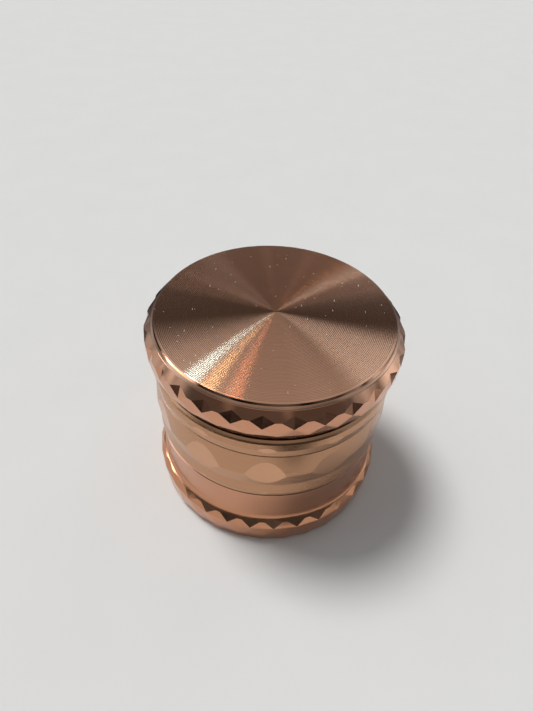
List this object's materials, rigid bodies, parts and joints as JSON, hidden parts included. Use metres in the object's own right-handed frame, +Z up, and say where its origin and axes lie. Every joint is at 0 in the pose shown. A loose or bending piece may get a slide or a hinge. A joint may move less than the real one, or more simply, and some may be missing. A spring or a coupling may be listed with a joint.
{
  "type": "hand grinder",
  "caption": "Round screwed hand grinder: flat-topped faceted lid, toothed chamber, waisted collector with a sifting screen, and a faceted catching base.",
  "frame": {"origin": "centre of the flat underside of the base", "axes": "+Z up along the axis that every part turns on, out through the lid; -Y faces the viewer"},
  "size_m": [0.0628, 0.0628, 0.0535],
  "materials": {
    "lid_metal": "rose-gold anodised, turned disc and polished facets",
    "body_metal": "rose-gold anodised, satin",
    "magnet_plating": "nickel plated",
    "stainless": "brushed",
    "slip_polymer": "matt moulded"
  },
  "bodies": {
    "base": {"base": "body_metal"},
    "screen_ring": {"screen_retaining_ring": "stainless"},
    "collector": {"collector": "body_metal", "screen_hoop": "stainless", "screen_mesh": "stainless"},
    "chamber_magnet": {"chamber_magnet": "magnet_plating"},
    "chamber": {"grinding_chamber": "body_metal", "chamber_floor": "body_metal", "chamber_teeth": "body_metal"},
    "slip_ring": {"friction_ring": "slip_polymer"},
    "lid": {"lid": "lid_metal", "lid_teeth": "lid_metal", "lid_magnet": "magnet_plating"}
  },
  "joints": [
    {"name": "collector_rise", "type": "slide", "parent": "base", "child": "screen_ring", "axis": [0, 0, 1], "range_m": [0, 0.00401]},
    {"name": "collector_turn", "type": "hinge", "parent": "screen_ring", "child": "collector", "pos_m": [0, 0, 0.0208], "axis": [0, 0, 1], "range_deg": [0, 720]},
    {"name": "chamber_rise", "type": "slide", "parent": "collector", "child": "chamber_magnet", "axis": [0, 0, 1], "range_m": [0, 0.00401]},
    {"name": "chamber_turn", "type": "hinge", "parent": "chamber_magnet", "child": "chamber", "pos_m": [0, 0, 0.037], "axis": [0, 0, 1], "range_deg": [0, 720]},
    {"name": "lid_lift", "type": "slide", "parent": "chamber", "child": "slip_ring", "axis": [0, 0, 1], "range_m": [0, 0.03]},
    {"name": "lid_turn", "type": "hinge", "parent": "slip_ring", "child": "lid", "pos_m": [0, 0, 0.042], "axis": [0, 0, 1], "continuous": true}
  ],
  "couplings": [
    {"joint": "collector_rise", "follows": "collector_turn", "m_per_rad": 0.00031831},
    {"joint": "chamber_rise", "follows": "chamber_turn", "m_per_rad": 0.00031831}
  ]
}
